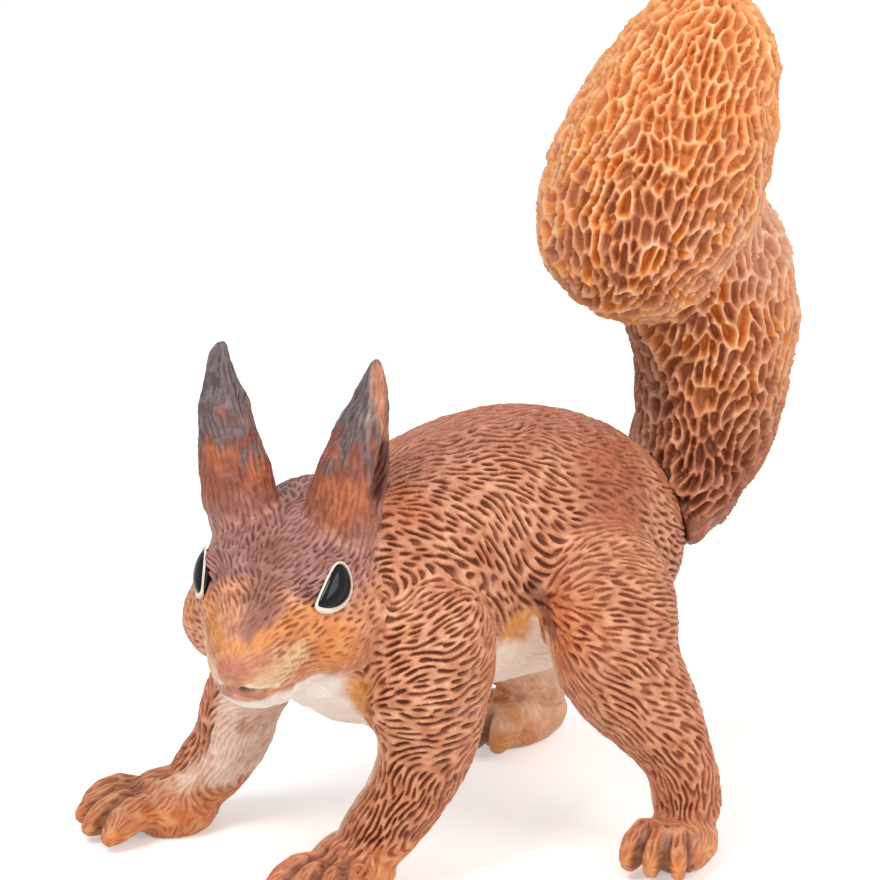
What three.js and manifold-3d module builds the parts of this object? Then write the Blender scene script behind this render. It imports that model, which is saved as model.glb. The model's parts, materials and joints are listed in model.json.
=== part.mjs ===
// A squirrel figurine of solid painted PVC. It stands on four paws, turns its head to its left
// and carries its tail up in an S.
// Millimetres, +Z up. The body points to -Y and the animal's left side is +X.
// The figure is made of nine mouldings. The head, the legs and the tail each carry a D-shaped peg
// that is glued into a socket of the torso, and the ears are glued into sockets of the head.
import * as THREE from "three";
import { mergeVertices } from "three/addons/utils/BufferGeometryUtils.js";
import Module from "manifold-3d";

const wasm = await Module();
wasm.setup();

// Fits between the mouldings
const seamGap = 0.3;
const pegPlay = 0.3;

// Main sizes: the middle of the body over the ground, and the body's length, width and depth
const standHeight = 25.6;
const bodyLength = 40.2;
const bodyWidth = 17.6;
const bodyDepth = 24.0;
const chestAt = -14.6;

// Main sizes of the tail: how far it rises over its root and reaches back, and the plume's width
const tailRise = 48.4;
const tailReach = 9.3;
const tailWidth = 19.2;

// Main sizes of the head and of an ear, which leans out and sweeps back as it rises.
// The right ear also bends out in its middle.
const headLength = 25.7;
const headWidth = 15.6;
const headDepth = 13.2;
const headTurn = { pitch: 8, roll: 0, yaw: 36 };
const earRise = 17.5;
const earLean = 3.4;
const earSweep = 3.9;
const earWidth = 6.4;
const earDepth = 5.8;
const rightEarBend = 0.7;

// Pegs: radius, and lengths in the carrying body and in the limb.
// The flat of the D lies this share of the radius from the axis.
const pegFlat = 0.55;
const headPegSize = { radius: 2.5, inBody: 5.0, inLimb: 5.0 };
const tailPegSize = { radius: 2.4, inBody: 4.5, inLimb: 4.5 };
const forePegSize = { radius: 2.0, inBody: 4.2, inLimb: 3.2 };
const hindPegSize = { radius: 2.2, inBody: 4.5, inLimb: 3.5 };
const earPegSize = { radius: 1.1, inBody: 2.0, inLimb: 2.6 };

// How finely the skins are divided
const sides = { body: 24, limb: 16, ear: 12, toe: 9, peg: 12 };
const rings = { torso: 14, stem: 12, plume: 10, head: 12, leg: 12, ear: 8, hollow: 5, toe: 3 };
const lumpSides = 13;
const lumpRings = 8;
const domeSteps = 4;

// A place inside a skin's frame, from shares of its size
function inFrame({ from, size }, shares) {
  return shares.map((share, axis) => from[axis] + share * size[axis]);
}

// A lump on a skin: a place and half sizes, both as shares of the frame's size
function lumpIn(frame, place, half) {
  return { at: inFrame(frame, place), half: half.map((share, axis) => share * frame.size[axis]) };
}

// The stations of a skin. Each row of an outline has the place of a section's centre across, along and up,
// as shares of the frame's size, and its half sizes across and deep, as shares of the frame's girth.
// The first and the last row are the skin's poles.
function stationsOf(frame, outline) {
  const { girth } = frame;
  return outline.map(([x, y, z, wide, deep]) => {
    return { at: inFrame(frame, [x, y, z]), wide: wide * girth.across, deep: deep * girth.deep };
  });
}

// Torso, from the chest to the rump
const torsoFrame = {
  from: [0, chestAt, standHeight],
  size: [bodyWidth, bodyLength, bodyDepth],
  girth: { across: bodyWidth, deep: bodyDepth },
};
const torsoStations = stationsOf(torsoFrame, [
  [0, 0.0, -0.17, 0.32, 0.27],
  [0, 0.09, -0.16, 0.38, 0.33],
  [0, 0.165, -0.115, 0.425, 0.385],
  [0, 0.265, -0.045, 0.467, 0.458],
  [0, 0.475, 0.0, 0.5, 0.512],
  [0, 0.685, -0.042, 0.5, 0.471],
  [0, 0.85, -0.1, 0.375, 0.362],
  [0, 1.0, -0.133, 0.261, 0.25],
]);
const onTorso = (...shares) => inFrame(torsoFrame, shares);

// The chest bulges before the left foreleg, and the throat runs up from it under the turned head
const chest = lumpIn(torsoFrame, [0.142, 0.102, -0.3375], [0.3125, 0.124, 0.167]);
const throat = lumpIn(torsoFrame, [0.239, -0.01, -0.292], [0.193, 0.09, 0.125]);

// Tail: a stem that rises from the rump, and a plume that leans forward over it
const tailFrame = {
  from: onTorso(0, 0.873, -0.108),
  size: [tailWidth, tailReach, tailRise],
  girth: { across: tailWidth, deep: tailWidth },
};
const tailStem = stationsOf(tailFrame, [
  [0, 0.0, 0.0, 0.229, 0.218],
  [0, 0.312, 0.045, 0.244, 0.235],
  [0, 0.656, 0.112, 0.291, 0.271],
  [0, 0.914, 0.227, 0.333, 0.328],
  [0, 0.97, 0.351, 0.37, 0.38],
  [0, 0.87, 0.488, 0.38, 0.415],
  [0, 0.75, 0.69, 0.374, 0.335],
]);
const tailPlume = stationsOf(tailFrame, [
  [0, -0.32, 0.432, 0.4, 0.385],
  [0, -0.02, 0.562, 0.445, 0.45],
  [0, 0.24, 0.665, 0.5, 0.489],
  [0, 0.54, 0.785, 0.46, 0.431],
  [0, 0.74, 0.872, 0.38, 0.359],
  [0, 0.95, 1.0, 0.344, 0.344],
]);
const tailPeg = { ...tailPegSize, at: onTorso(0, 0.94, 0.017), axis: [0, -0.73, -0.69] };

// Head, in its own frame: nose to -Y, crown to +Z
const headAt = onTorso(0.011, -0.02, 0.067);
const headFrame = {
  from: [0, 0, 0],
  size: [headWidth, headLength, headDepth],
  girth: { across: headWidth, deep: headDepth },
};
const headStations = stationsOf(headFrame, [
  [0, 0.447, -0.076, 0.385, 0.47],
  [0, 0.311, -0.076, 0.397, 0.477],
  [0, 0.117, -0.076, 0.487, 0.5],
  [0, -0.058, -0.091, 0.5, 0.5],
  [0, -0.214, -0.129, 0.423, 0.47],
  [0, -0.35, -0.197, 0.288, 0.379],
  [0, -0.444, -0.227, 0.218, 0.303],
  [0, -0.553, -0.242, 0.179, 0.242],
]);
const headPeg = { ...headPegSize, at: onTorso(0, 0.027, -0.042), axis: [0, 1, 0] };

// Lumps on the head
const cheek = lumpIn(headFrame, [0.256, -0.093, -0.212], [0.282, 0.226, 0.333]);
const jaw = lumpIn(headFrame, [0, -0.272, -0.394], [0.256, 0.218, 0.22]);
const eye = lumpIn(headFrame, [0.349, -0.181, 0.148], [0.055, 0.07, 0.15]);
const nose = lumpIn(headFrame, [0, -0.521, -0.152], [0.103, 0.043, 0.091]);

// Ears, in the head's frame, with a hollow on the outer side
const earFrame = {
  from: inFrame(headFrame, [0.224, 0.043, 0.076]),
  size: [earLean, earSweep, earRise],
  girth: { across: earWidth, deep: earDepth },
};
const earStations = stationsOf(earFrame, [
  [0.0, 0.0, 0.0, 0.5, 0.5],
  [0.118, 0.077, 0.149, 0.5, 0.5],
  [0.324, 0.231, 0.343, 0.5, 0.483],
  [0.735, 0.641, 0.651, 0.375, 0.345],
  [0.912, 0.897, 0.857, 0.188, 0.172],
  [1.0, 1.0, 1.0, 0.141, 0.138],
]);
const earHollow = stationsOf(earFrame, [
  [1.088, 0.026, 0.24, 0.203, 0.224],
  [1.235, 0.179, 0.366, 0.25, 0.241],
  [1.382, 0.538, 0.594, 0.25, 0.19],
  [1.294, 0.846, 0.846, 0.125, 0.103],
]);
const earPeg = { ...earPegSize, at: inFrame(earFrame, [0.147, 0.103, 0.229]), axis: [-0.3, -0.5, -1] };

// Toes: they fan out from the palm, arch over a knuckle and end on the ground. The outermost one can start
// further back. Places along a toe are shares of its length, and the tip is a little slimmer.
const toeRoot = 0.3;
const toeKnuckle = 0.7;
const toeEnd = 1.2;
const toeEndHeight = 0.6;
const toeEndSize = 0.9;
const foreToes = { count: 4, fan: 68, radius: 1.65, length: 7.0, rise: 1.1, setBack: 0 };
const hindToes = { count: 4, fan: 72, radius: 1.85, length: 5.2, rise: 1.5, setBack: 2.4 };

// Palms: half sizes across, along and up, and the height of the middle over the ground
const forePalm = { across: 3.7, along: 4.3, up: 3.2, height: 2.3 };
const leftHindPalm = { across: 3.4, along: 4.2, up: 2.6, height: 2.2 };
const rightHindPalm = { across: 3.3, along: 5.2, up: 3.0, height: 2.6 };

// A leg from its root inside the torso to its paw. It reaches "spread" to its side, "stride" along the body
// and always down to the ground. A paw's heading turns from -Y towards +X.
function leg({ root, side, spread, stride, girth, outline, pegSize, pegAt, pegAxis, paw }) {
  const { palm, place, heading, toes } = paw;
  const drop = root[2] - palm.height;
  const frame = { from: root, size: [side * spread, stride, -drop], girth };
  const half = [palm.across, palm.along, palm.up];
  return {
    stations: stationsOf(frame, outline),
    peg: { ...pegSize, at: pegAt, axis: pegAxis },
    paw: { at: inFrame(frame, place), half, heading, toes, outer: side },
  };
}

const leftForeleg = leg({
  root: onTorso(0.283, 0.229, 0.067),
  side: 1,
  spread: 4.0,
  stride: -8.5,
  girth: { across: 8.4, deep: 11.8 },
  outline: [
    [0.0, 0.0, 0.0, 0.43, 0.44],
    [0.825, 0.06, 0.214, 0.464, 0.466],
    [0.875, 0.21, 0.397, 0.5, 0.5],
    [1.0, 0.25, 0.571, 0.44, 0.39],
    [0.85, 0.43, 0.738, 0.381, 0.305],
    [0.62, 0.73, 0.881, 0.369, 0.271],
    [0.45, 1.0, 1.0, 0.369, 0.263],
  ],
  pegSize: forePegSize,
  pegAt: onTorso(0.435, 0.209, -0.233),
  pegAxis: [-1, 0, 0],
  paw: { palm: forePalm, place: [0.45, 1, 1], heading: 26, toes: foreToes },
});
const rightForeleg = leg({
  root: onTorso(-0.228, 0.214, -0.05),
  side: -1,
  spread: 10.2,
  stride: -12.8,
  girth: { across: 7.2, deep: 10.4 },
  outline: [
    [0.0, 0.0, 0.0, 0.472, 0.5],
    [0.34, 0.44, 0.286, 0.46, 0.43],
    [0.55, 0.62, 0.527, 0.44, 0.365],
    [0.73, 0.64, 0.732, 0.43, 0.325],
    [0.9, 0.75, 0.875, 0.43, 0.3],
    [1.0, 0.951, 1.0, 0.43, 0.3],
  ],
  pegSize: forePegSize,
  pegAt: onTorso(-0.326, 0.127, -0.275),
  pegAxis: [0.8, 0.6, 0],
  paw: { palm: forePalm, place: [1, 1, 1], heading: -20, toes: foreToes },
});
const leftHindLeg = leg({
  root: onTorso(0.228, 0.652, 0.1),
  side: 1,
  spread: 13.8,
  stride: 2.6,
  girth: { across: 10.0, deep: 12.4 },
  outline: [
    [0.0, 0.2, 0.0, 0.5, 0.6],
    [0.435, -0.4, 0.209, 0.5, 0.51],
    [0.609, -0.615, 0.411, 0.49, 0.46],
    [0.78, 0.2, 0.589, 0.375, 0.34],
    [0.91, 0.82, 0.76, 0.29, 0.245],
    [0.928, 1.0, 0.899, 0.29, 0.242],
    [0.964, 0.846, 1.0, 0.28, 0.226],
  ],
  pegSize: hindPegSize,
  pegAt: onTorso(0.5, 0.617, -0.15),
  pegAxis: [-1, 0, 0],
  paw: { palm: leftHindPalm, place: [1, 0.385, 1], heading: 40, toes: hindToes },
});
const rightHindLeg = leg({
  root: onTorso(-0.228, 0.662, 0.058),
  side: -1,
  spread: 9.6,
  stride: 8.8,
  girth: { across: 10.0, deep: 13.2 },
  outline: [
    [0.0, 0.05, 0.0, 0.5, 0.57],
    [0.509, -0.08, 0.262, 0.5, 0.51],
    [0.745, 0.077, 0.516, 0.44, 0.394],
    [0.891, 0.577, 0.713, 0.34, 0.288],
    [0.964, 0.923, 0.869, 0.29, 0.227],
    [1.0, 1.0, 1.0, 0.27, 0.205],
  ],
  pegSize: hindPegSize,
  pegAt: onTorso(-0.5, 0.647, -0.192),
  pegAxis: [1, 0, 0],
  paw: { palm: rightHindPalm, place: [1, 0.692, 1], heading: 0, toes: hindToes },
});

// Paint of the mouldings
const coat = new THREE.MeshStandardMaterial({ name: "painted_fur", color: 0xb5653a, roughness: 0.6 });
const tailCoat = new THREE.MeshStandardMaterial({ name: "painted_tail", color: 0xc8743c, roughness: 0.6 });
const earPaint = new THREE.MeshStandardMaterial({ name: "painted_ear", color: 0x5c4038, roughness: 0.6 });

const vector = (xyz) => new THREE.Vector3(...xyz);
const radians = THREE.MathUtils.degToRad;

// A closed body for joining and cutting
function solid(geometry) {
  const bare = geometry.clone();
  bare.deleteAttribute("normal");
  bare.deleteAttribute("uv");
  const merged = mergeVertices(bare);
  const vertProperties = merged.attributes.position.array;
  const triVerts = Uint32Array.from(merged.index.array);
  return new wasm.Manifold(new wasm.Mesh({ numProp: 3, vertProperties, triVerts }));
}

// A skin of elliptical sections along a smooth path. "wide" is measured along the side direction.
// The first and the last span close in a dome. "grow" makes the whole skin larger, for the room
// that a neighbour leaves around it.
function loft(stations, ringCount, sideCount, { side = [1, 0, 0], grow = 0 } = {}) {
  const path = new THREE.CatmullRomCurve3(stations.map((station) => vector(station.at)));
  const sizes = new THREE.SplineCurve(stations.map(({ wide, deep }) => new THREE.Vector2(wide, deep)));
  const dome = 1 / (stations.length - 1);

  // Each ring: where on the path, the share of the full size, and the share of the growth along the path
  const steps = [];
  for (let k = 1; k < domeSteps; k++) {
    const angle = (Math.PI / 2) * (k / domeSteps);
    steps.push({ u: dome * (1 - Math.cos(angle)), share: Math.sin(angle), ahead: -Math.cos(angle) });
  }
  const lastDome = steps.map(({ u, share, ahead }) => ({ u: 1 - u, share, ahead: -ahead })).reverse();
  for (let i = 0; i <= ringCount; i++) {
    steps.push({ u: dome + (1 - 2 * dome) * (i / ringCount), share: 1, ahead: 0 });
  }
  steps.push(...lastDome);

  const points = [];
  for (const { u, share, ahead } of steps) {
    const tangent = path.getTangent(u);
    const across = vector(side).addScaledVector(tangent, -vector(side).dot(tangent)).normalize();
    const upward = new THREE.Vector3().crossVectors(tangent, across);
    const size = sizes.getPoint(u).addScalar(grow).multiplyScalar(share);
    const centre = path.getPoint(u).addScaledVector(tangent, ahead * grow);
    for (let j = 0; j < sideCount; j++) {
      const turn = (2 * Math.PI * j) / sideCount;
      const point = centre.clone().addScaledVector(across, Math.cos(turn) * size.x);
      points.push(point.addScaledVector(upward, Math.sin(turn) * size.y));
    }
  }
  const startPole = points.push(path.getPoint(0).addScaledVector(path.getTangent(0), -grow)) - 1;
  const endPole = points.push(path.getPoint(1).addScaledVector(path.getTangent(1), grow)) - 1;

  const index = [];
  const lastRing = (steps.length - 1) * sideCount;
  for (let j = 0; j < sideCount; j++) {
    const next = (j + 1) % sideCount;
    for (let ring = 0; ring < lastRing; ring += sideCount) {
      index.push(ring + j, ring + next, ring + sideCount + next);
      index.push(ring + j, ring + sideCount + next, ring + sideCount + j);
    }
    index.push(startPole, next, j);
    index.push(endPole, lastRing + j, lastRing + next);
  }
  const geometry = new THREE.BufferGeometry().setFromPoints(points);
  geometry.setIndex(index);
  return solid(geometry);
}

// An egg-shaped lump
function lump({ at, half, turn = 0 }, grow = 0) {
  const geometry = new THREE.SphereGeometry(1, lumpSides, lumpRings);
  geometry.scale(...half.map((size) => size + grow));
  geometry.rotateZ(turn);
  geometry.translate(...at);
  return solid(geometry);
}

// A D-shaped peg. It starts inside its own moulding and points along "axis" into the one that carries it.
// "play" makes the room of the socket.
function peg({ radius, inBody, inLimb, at, axis }, play = 0) {
  const round = radius + play;
  const halfAngle = Math.acos((radius * pegFlat + play) / round);
  const section = new THREE.Shape();
  section.absarc(0, 0, round, halfAngle, 2 * Math.PI - halfAngle);
  section.closePath();
  const depth = inLimb + inBody + play;
  const options = { depth, bevelEnabled: false, curveSegments: sides.peg };
  const geometry = new THREE.ExtrudeGeometry(section, options);
  geometry.translate(0, 0, -inLimb);
  const along = vector(axis).normalize();
  geometry.applyQuaternion(new THREE.Quaternion().setFromUnitVectors(new THREE.Vector3(0, 0, 1), along));
  geometry.translate(...at);
  return solid(geometry);
}

// Everything below the ground, for flat soles
function ground() {
  const size = 200;
  return solid(new THREE.BoxGeometry(size, size, size).translate(0, 0, -size / 2));
}

// The same thing on the animal's other side
const mirror = ([x, y, z]) => [-x, y, z];
const mirrorAll = (list) => list.map((item) => ({ ...item, at: mirror(item.at) }));

// One finished moulding. Only the largest body is kept, so no sliver is left where two faces nearly meet.
function moulding(name, body, material) {
  const main = body.decompose().reduce((best, other) => (other.volume() > best.volume() ? other : best));
  const { vertProperties, triVerts } = main.getMesh();
  const geometry = new THREE.BufferGeometry();
  geometry.setAttribute("position", new THREE.BufferAttribute(vertProperties, 3));
  geometry.setIndex(new THREE.BufferAttribute(triVerts, 1));
  geometry.computeVertexNormals();
  const mesh = new THREE.Mesh(geometry, material);
  mesh.name = name;
  return mesh;
}

// A paw: a palm and toes, each toe arching over its knuckle down to the ground
function pawBody({ at, half, heading, toes, outer }) {
  const { count, fan, radius, length, rise, setBack } = toes;
  let body = lump({ at, half, turn: radians(heading) });
  for (let k = 0; k < count; k++) {
    const angle = radians(heading + outer * fan * (k / (count - 1) - 0.5));
    const forward = new THREE.Vector3(Math.sin(angle), -Math.cos(angle), 0);
    const start = k === count - 1 ? -setBack : 0;
    const reach = (share, height) => {
      return vector([at[0], at[1], height]).addScaledVector(forward, start + share * length).toArray();
    };
    const stations = [
      { at: reach(0, at[2]), wide: radius, deep: radius },
      { at: reach(toeRoot, at[2]), wide: radius, deep: radius },
      { at: reach(toeKnuckle, radius + rise), wide: radius, deep: radius },
      { at: reach(toeEnd, radius * toeEndHeight), wide: radius * toeEndSize, deep: radius * toeEndSize },
    ];
    const side = [Math.cos(angle), Math.sin(angle), 0];
    body = body.add(loft(stations, rings.toe, sides.toe, { side }));
  }
  return body;
}

function torsoSkin(grow = 0) {
  const body = loft(torsoStations, rings.torso, sides.body, { grow });
  return body.add(lump(chest, grow)).add(lump(throat, grow));
}

function tailSkin() {
  const stem = loft(tailStem, rings.stem, sides.body);
  return stem.add(loft(tailPlume, rings.plume, sides.body));
}

function headSkin(grow = 0) {
  let body = loft(headStations, rings.head, sides.body, { grow });
  body = body.add(lump(jaw, grow)).add(lump(nose, grow));
  for (const { at, half } of [cheek, eye]) {
    body = body.add(lump({ at, half }, grow)).add(lump({ at: mirror(at), half }, grow));
  }
  return body;
}

// Stations that bend away from the middle plane, most in their middle
function bentOut(stations) {
  return stations.map((station, k) => {
    const share = Math.sin((Math.PI * k) / (stations.length - 1));
    const [x, y, z] = station.at;
    return { ...station, at: [x + rightEarBend * share, y, z] };
  });
}

function earSkin(stations, hollow) {
  const whole = loft(stations, rings.ear, sides.ear);
  return whole.subtract(loft(hollow, rings.hollow, sides.ear));
}

// The head group turns the head; bodies are moved between its frame and the torso's
const headGroup = new THREE.Group();
headGroup.name = "head_group";
headGroup.position.set(...headAt);
headGroup.rotation.set(radians(headTurn.pitch), radians(headTurn.roll), radians(headTurn.yaw), "ZXY");
headGroup.updateMatrix();
const outOfHead = headGroup.matrix.elements;
const intoHead = headGroup.matrix.clone().invert().elements;

// Torso: the base that carries the other mouldings
const legs = [leftForeleg, rightForeleg, leftHindLeg, rightHindLeg];
const torsoRoom = torsoSkin(seamGap);
let torso = torsoSkin();
for (const spec of [headPeg, tailPeg, ...legs.map((limb) => limb.peg)]) {
  torso = torso.subtract(peg(spec, pegPlay));
}

// Head and ears
const rightEarPeg = { ...earPeg, at: mirror(earPeg.at), axis: mirror(earPeg.axis) };
const torsoNearHead = torsoRoom.transform(intoHead);
const headRoom = headSkin(seamGap);
const headPegInside = peg(headPeg).transform(intoHead);
let head = headSkin().subtract(torsoNearHead).add(headPegInside);
head = head.subtract(peg(earPeg, pegPlay)).subtract(peg(rightEarPeg, pegPlay));
const earBody = (skin, spec) => skin.subtract(headRoom).add(peg(spec)).subtract(torsoNearHead);
const leftEar = earBody(earSkin(earStations, earHollow), earPeg);
const rightEarSkin = earSkin(mirrorAll(bentOut(earStations)), mirrorAll(bentOut(earHollow)));
const rightEar = earBody(rightEarSkin, rightEarPeg);

// Tail
const tail = tailSkin().subtract(torsoRoom).add(peg(tailPeg));

// Legs: each leaves room for the torso and the head, and ends in flat soles
const headKeepOut = headRoom.transform(outOfHead);
function legBody(limb) {
  const skin = loft(limb.stations, rings.leg, sides.limb).add(pawBody(limb.paw));
  return skin.subtract(torsoRoom).subtract(headKeepOut).subtract(ground()).add(peg(limb.peg));
}

headGroup.add(moulding("head", head, coat));
headGroup.add(moulding("left_ear", leftEar, earPaint));
headGroup.add(moulding("right_ear", rightEar, earPaint));

// The figure stands with the middle of its box over the origin
const figure = new THREE.Group();
figure.name = "figure";
figure.add(moulding("torso", torso, coat));
figure.add(moulding("left_foreleg", legBody(leftForeleg), coat));
figure.add(moulding("right_foreleg", legBody(rightForeleg), coat));
figure.add(moulding("left_hind_leg", legBody(leftHindLeg), coat));
figure.add(moulding("right_hind_leg", legBody(rightHindLeg), coat));
figure.add(moulding("tail", tail, tailCoat));
figure.add(headGroup);
const box = new THREE.Box3().setFromObject(figure, true);
const middle = box.getCenter(new THREE.Vector3());
figure.position.set(-middle.x, -middle.y, -box.min.z);

const root = new THREE.Group();
root.name = "squirrel_figurine";
root.add(figure);

export default root;
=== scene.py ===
# %% [markdown]
# A squirrel figurine of solid PVC, about 72 mm high, with a coat of sculpted hair and a hand-painted finish.
# The frame gives nine plain mouldings at their real size and place. This lesson dresses them: it grows one
# furred skin over the body and another over the tail, and then adds the eyes and the paint.

# %% Load the frame
import json
import math

import bpy
import numpy as np
from mathutils import Euler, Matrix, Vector, noise
from mathutils.bvhtree import BVHTree
from mathutils.kdtree import KDTree

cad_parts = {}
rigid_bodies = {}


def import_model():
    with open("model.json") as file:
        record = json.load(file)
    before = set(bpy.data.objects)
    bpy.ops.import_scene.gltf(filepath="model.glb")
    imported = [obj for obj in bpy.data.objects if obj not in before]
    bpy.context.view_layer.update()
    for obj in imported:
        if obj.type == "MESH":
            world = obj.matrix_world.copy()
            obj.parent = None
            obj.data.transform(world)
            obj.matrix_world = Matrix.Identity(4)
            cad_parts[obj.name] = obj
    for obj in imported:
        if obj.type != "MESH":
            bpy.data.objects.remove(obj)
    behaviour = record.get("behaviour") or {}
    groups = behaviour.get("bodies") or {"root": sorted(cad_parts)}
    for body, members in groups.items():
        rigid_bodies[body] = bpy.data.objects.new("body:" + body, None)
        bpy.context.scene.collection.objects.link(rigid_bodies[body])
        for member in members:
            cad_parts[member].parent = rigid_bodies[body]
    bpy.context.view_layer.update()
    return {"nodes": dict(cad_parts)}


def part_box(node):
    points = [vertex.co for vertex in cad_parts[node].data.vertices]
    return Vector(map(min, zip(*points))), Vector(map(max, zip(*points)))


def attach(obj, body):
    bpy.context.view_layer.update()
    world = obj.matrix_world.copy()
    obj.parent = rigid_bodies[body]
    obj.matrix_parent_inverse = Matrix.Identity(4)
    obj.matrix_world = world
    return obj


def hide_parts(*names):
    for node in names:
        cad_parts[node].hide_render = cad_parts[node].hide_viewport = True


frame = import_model()
MM = 0.001

# The sculptor's frame in millimetres: x = 0 is the body's middle plane and the rump ends at rump_y
rump_y = 25.6
torso_low, torso_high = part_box("torso")
sculpt_origin = np.array(((torso_low.x + torso_high.x) / 2, torso_high.y - rump_y * MM, 0.0))


def sculpt_mm(points):
    return (np.asarray(points) - sculpt_origin) / MM


def row_m(points):
    return np.asarray(points) * MM + sculpt_origin


print("nodes:", sorted(frame["nodes"]), "sculpt origin:", sculpt_origin.round(6))

# %% [markdown]
# The camera stands in front of the animal's left shoulder, a little above it, with a long lens.
# Its distance and lens were set so that a millimetre on the figure is as many pixels as in the photograph.

# %% Camera
camera_azimuth = math.radians(55)
camera_elevation = math.radians(18)
camera_distance = 0.42
camera_lens = 201.5
look_at = Vector(row_m((0.0, 0.0, 36.0)))
to_camera = Vector((
    math.sin(camera_azimuth) * math.cos(camera_elevation),
    -math.cos(camera_azimuth) * math.cos(camera_elevation),
    math.sin(camera_elevation),
))
camera_data = bpy.data.cameras.new("camera")
camera_data.lens = camera_lens
camera_data.sensor_width = 36
camera = bpy.data.objects.new("camera", camera_data)
camera.location = look_at + to_camera * camera_distance
camera.rotation_euler = to_camera.to_track_quat("Z", "Y").to_euler()
bpy.context.collection.objects.link(camera)
bpy.context.scene.camera = camera
bpy.context.scene.view_settings.view_transform = "Standard"
print("camera at", tuple(round(c, 4) for c in camera.location))

# %% [markdown]
# Colours are written as sRGB hex values, as a painter would mix them, and one function turns them to the
# linear values that shaders use. One more small function adds a node with its settings and links.


# %% Colour and node helpers
def paint(hex_value):
    channels = [int(hex_value[i:i + 2], 16) / 255 for i in (1, 3, 5)]
    linear = [c / 12.92 if c <= 0.04045 else ((c + 0.055) / 1.055) ** 2.4 for c in channels]
    return (*linear, 1.0)


def add_node(tree, kind, inputs=None, **settings):
    made = tree.nodes.new(kind)
    for name, value in settings.items():
        setattr(made, name, value)
    for name, value in (inputs or {}).items():
        if isinstance(value, bpy.types.NodeSocket):
            tree.links.new(value, made.inputs[name])
        else:
            made.inputs[name].default_value = value
    return made


def new_material(name):
    material = bpy.data.materials.new(name)
    material.use_nodes = True
    material.node_tree.nodes.clear()
    return material, material.node_tree


# Sockets of a colour Mix node and of a Map Range node
FACTOR, COLOUR_A, COLOUR_B, MIXED = 0, 6, 7, 2
FROM_LOW, FROM_HIGH, TO_LOW, TO_HIGH = 1, 2, 3, 4

# %% [markdown]
# The stage is a pale floor under a broad soft light, as in a product photograph. The floor is white to the
# camera, and to what mirrors in the gloss of the paint, apart from the figure's shadow. The lamps stay at
# a level where colours render as written.


# %% Floor
def seen_rays(tree):
    """1 for rays from the camera, off a glossy surface or through a clear one, and 0 for the others."""
    path = add_node(tree, "ShaderNodeLightPath")
    seen = path.outputs["Is Camera Ray"]
    for name in ("Is Glossy Ray", "Is Transmission Ray"):
        either = add_node(tree, "ShaderNodeMath", {0: seen, 1: path.outputs[name]}, operation="MAXIMUM")
        seen = either.outputs[0]
    return seen


floor_glow = 0.37
bpy.ops.mesh.primitive_plane_add(size=3.0, location=(0, 0, 0))
floor = bpy.context.object
floor.name = "floor"
floor_material, tree = new_material("pale_floor")
surface = add_node(tree, "ShaderNodeBsdfDiffuse", {"Color": paint("#f4f3f1")})
bright = add_node(tree, "ShaderNodeEmission", {"Color": paint("#ffffff"), "Strength": floor_glow})
both = add_node(tree, "ShaderNodeAddShader", {0: surface.outputs[0], 1: bright.outputs[0]})
shown = add_node(tree, "ShaderNodeMixShader", {
    0: seen_rays(tree),
    1: surface.outputs[0],
    2: both.outputs[0],
})
add_node(tree, "ShaderNodeOutputMaterial", {"Surface": shown.outputs[0]})
floor.data.materials.append(floor_material)
print("floor:", floor.name)

# %% Light
world = bpy.data.worlds.new("studio")
bpy.context.scene.world = world
world.use_nodes = True
tree = world.node_tree
tree.nodes.clear()
fill_level, white_level = 0.50, 1.0
fill = add_node(tree, "ShaderNodeBackground", {"Color": paint("#ffffff"), "Strength": fill_level})
white = add_node(tree, "ShaderNodeBackground", {"Color": paint("#ffffff"), "Strength": white_level})
shown = add_node(tree, "ShaderNodeMixShader", {
    0: seen_rays(tree),
    1: fill.outputs[0],
    2: white.outputs[0],
})
add_node(tree, "ShaderNodeOutputWorld", {"Surface": shown.outputs[0]})


def add_softbox(name, azimuth, elevation, distance, size, power):
    lamp = bpy.data.lights.new(name, "AREA")
    lamp.energy = power
    lamp.size = size
    holder = bpy.data.objects.new(name, lamp)
    turn, rise = math.radians(azimuth), math.radians(elevation)
    aim = Vector((math.sin(turn) * math.cos(rise), -math.cos(turn) * math.cos(rise), math.sin(rise)))
    holder.location = look_at + aim * distance
    holder.rotation_euler = aim.to_track_quat("Z", "Y").to_euler()
    bpy.context.collection.objects.link(holder)


add_softbox("key_softbox", azimuth=15, elevation=52, distance=0.55, size=0.20, power=1.5)
add_softbox("side_softbox", azimuth=105, elevation=35, distance=0.60, size=0.35, power=1.63)

# %% [markdown]
# A moulding in the frame is a plain closed solid. The real one has been sculpted, so its skin runs over the
# joint lines without a step. A sculptor would join the solids and remesh them, and so does this cell:
# the copies grow a little until the glue gaps close, lumps of filler go into the deepest gaps, and a voxel
# remesh fuses all of it.


# %% A skin over several mouldings
weld_gap = 0.002


def select_only(piece):
    bpy.ops.object.select_all(action="DESELECT")
    piece.select_set(True)
    bpy.context.view_layer.objects.active = piece


def apply_modifier(piece, kind, **settings):
    select_only(piece)
    modifier = piece.modifiers.new(kind, kind)
    for name, value in settings.items():
        setattr(modifier, name, value)
    bpy.ops.object.modifier_apply(modifier=modifier.name)


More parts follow.
